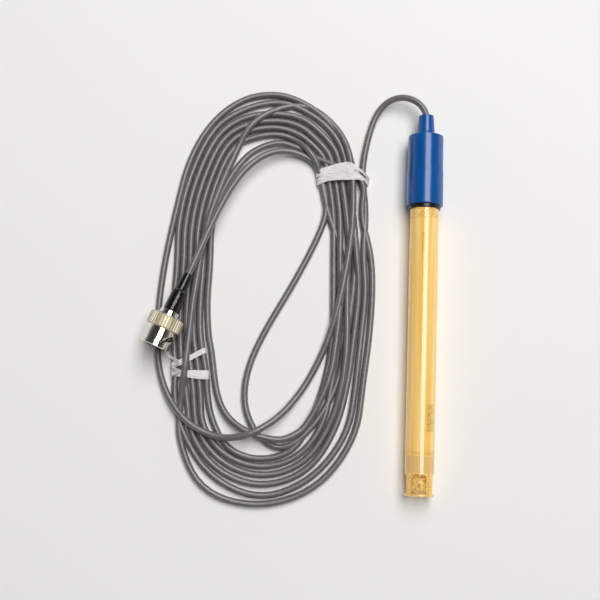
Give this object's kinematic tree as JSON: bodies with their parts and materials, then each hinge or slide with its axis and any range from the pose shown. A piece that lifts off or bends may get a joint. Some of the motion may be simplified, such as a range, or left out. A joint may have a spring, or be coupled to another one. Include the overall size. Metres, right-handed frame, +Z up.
{
  "type": "pH electrode",
  "caption": "Amber pH electrode with a slotted guard round its glass bulb, a blue cap and a coiled grey lead that ends in a bayonet plug.",
  "frame": {"origin": "on the floor under the middle of the electrode, measured without its lead and plug", "axes": "+Z up, +Y along the electrode from its bulb towards its cap, +X away from the coiled lead"},
  "size_m": [0.1231, 0.1778, 0.0176],
  "materials": {
    "tube_amber": "amber, slightly see-through",
    "cap_blue": "satin moulded",
    "seal_black": "matt",
    "resin_dark": "cast",
    "resin_pale": "cast",
    "glass_clear": "clear",
    "silicone": "matt",
    "silver_chloride": "dull",
    "silver": "drawn wire",
    "frit_ceramic": "porous",
    "core_black": "conductive layer",
    "tinned_copper": "twisted strands",
    "clamp_steel": "crimped",
    "lead_grey": "satin",
    "tie_white": "satin",
    "boot_black": "satin",
    "nickel_plate": "plated",
    "gilt": "plated",
    "insulator_white": "plain",
    "spring_steel": "plain"
  },
  "bodies": {
    "electrode": {"body_tube": "tube_amber", "cap": "cap_blue", "seal_ring": "seal_black", "potting_plug": "resin_dark", "stem_tube": "glass_clear", "sensing_bulb": "glass_clear", "inner_wire": "silver", "stem_stopper": "silicone", "reference_wire": "silver", "reference_pellet": "silver_chloride", "end_seal": "resin_pale", "junction_frit": "frit_ceramic", "signal_core": "core_black", "screen_tail": "tinned_copper", "cable_clamp": "clamp_steel", "cable_lead": "lead_grey", "cable_coil": "lead_grey", "cable_loop_inner": "lead_grey", "cable_loop_low": "lead_grey", "cable_loop_cross": "lead_grey", "cable_tail": "lead_grey", "upper_tie": "tie_white", "lower_tie": "tie_white", "boot": "boot_black", "crimp_ferrule": "nickel_plate", "plug_body": "nickel_plate", "plug_core": "core_black", "outer_contact": "nickel_plate", "insulator": "insulator_white", "centre_pin": "gilt", "gasket": "seal_black", "spring_washer": "spring_steel", "snap_ring": "spring_steel"},
    "thrust": {"thrust_washer": "spring_steel"},
    "nut": {"coupling_nut": "nickel_plate"}
  },
  "joints": [
    {"name": "nut_push", "type": "slide", "parent": "electrode", "child": "thrust", "axis": [-0.3795, -0.9252, 0], "range_m": [0, 0.0007], "stiffness_N_per_m": 4000, "deforming": ["spring_washer"]},
    {"name": "nut_turn", "type": "hinge", "parent": "thrust", "child": "nut", "pos_m": [-0.10688, -0.01619, 0.0104], "axis": [-0.3795, -0.9252, 0], "continuous": true}
  ]
}
